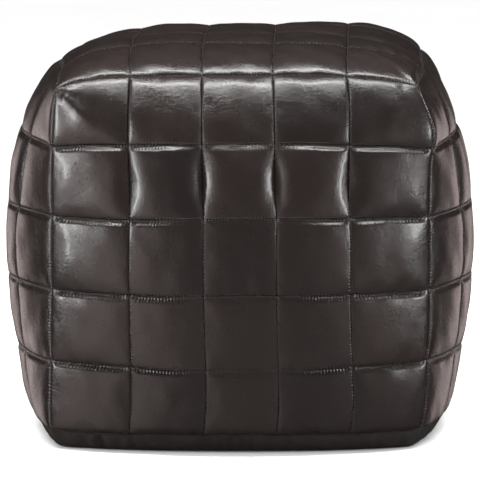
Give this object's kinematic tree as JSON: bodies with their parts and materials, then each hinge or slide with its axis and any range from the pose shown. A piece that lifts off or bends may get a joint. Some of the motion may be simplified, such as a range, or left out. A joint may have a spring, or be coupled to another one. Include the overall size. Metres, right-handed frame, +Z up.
{
  "type": "patchwork leather pouf",
  "caption": "Square stuffed leather pouf of puffed patches sewn edge to edge, with a plain base panel and a base zip.",
  "frame": {"origin": "bottom centre of the pouf's box, on the surface it stands on", "axes": "+Z up, +X to the right as seen from the front, +Y towards the back"},
  "size_m": [0.456, 0.456, 0.381],
  "materials": {
    "base_cloth": "matte black base cloth",
    "leather_back": "waxed semi-gloss, dark espresso",
    "leather_front": "waxed semi-gloss, dark espresso",
    "leather_left": "waxed semi-gloss, dark espresso",
    "leather_right": "waxed semi-gloss, dark espresso",
    "leather_top": "waxed semi-gloss, dark espresso",
    "liner_cotton": "plain unbleached cotton",
    "seam_thread": "twisted bonded thread, near black",
    "stuffing": "loose cotton fill",
    "zip_coil": "nylon coil, black",
    "zip_metal": "aged brass",
    "zip_tape": "woven polyester tape, black",
    "zip_thread": "twisted thread, black"
  },
  "bodies": {
    "pouf": {"back_patch_row_1": "leather_back", "back_patch_row_2": "leather_back", "back_patch_row_3": "leather_back", "back_patch_row_4": "leather_back", "back_patch_row_5": "leather_back", "back_seam_thread": "seam_thread", "base_edge_thread": "seam_thread", "base_panel_back": "base_cloth", "base_panel_front": "base_cloth", "corner_thread": "seam_thread", "front_patch_row_1": "leather_front", "front_patch_row_2": "leather_front", "front_patch_row_3": "leather_front", "front_patch_row_4": "leather_front", "front_patch_row_5": "leather_front", "front_seam_thread": "seam_thread", "left_patch_row_1": "leather_left", "left_patch_row_2": "leather_left", "left_patch_row_3": "leather_left", "left_patch_row_4": "leather_left", "left_patch_row_5": "leather_left", "left_seam_thread": "seam_thread", "liner_bag": "liner_cotton", "right_patch_row_1": "leather_right", "right_patch_row_2": "leather_right", "right_patch_row_3": "leather_right", "right_patch_row_4": "leather_right", "right_patch_row_5": "leather_right", "right_seam_thread": "seam_thread", "stuffing": "stuffing", "top_edge_thread": "seam_thread", "top_patch_row_1": "leather_top", "top_patch_row_2": "leather_top", "top_patch_row_3": "leather_top", "top_patch_row_4": "leather_top", "top_patch_row_5": "leather_top", "top_seam_thread": "seam_thread", "zip_end_tab_left": "base_cloth", "zip_end_tab_right": "base_cloth", "zip_stop_closed": "zip_metal", "zip_stop_open": "zip_metal", "zip_tape_back": "zip_tape", "zip_tape_front": "zip_tape", "zip_teeth_back": "zip_coil", "zip_teeth_front": "zip_coil", "zip_thread_back": "zip_thread", "zip_thread_front": "zip_thread"},
    "slider": {"zip_slider": "zip_metal"},
    "pull_tab": {"zip_pull_tab": "zip_metal"}
  },
  "joints": [
    {"name": "zip_slide", "type": "slide", "parent": "pouf", "child": "slider", "axis": [-1, 0, 0], "range_m": [0, 0.276]},
    {"name": "pull_tab_swing", "type": "hinge", "parent": "slider", "child": "pull_tab", "pos_m": [0.138, 0, 0.0055], "axis": [0, -1, 0], "range_deg": [0, 180]}
  ]
}
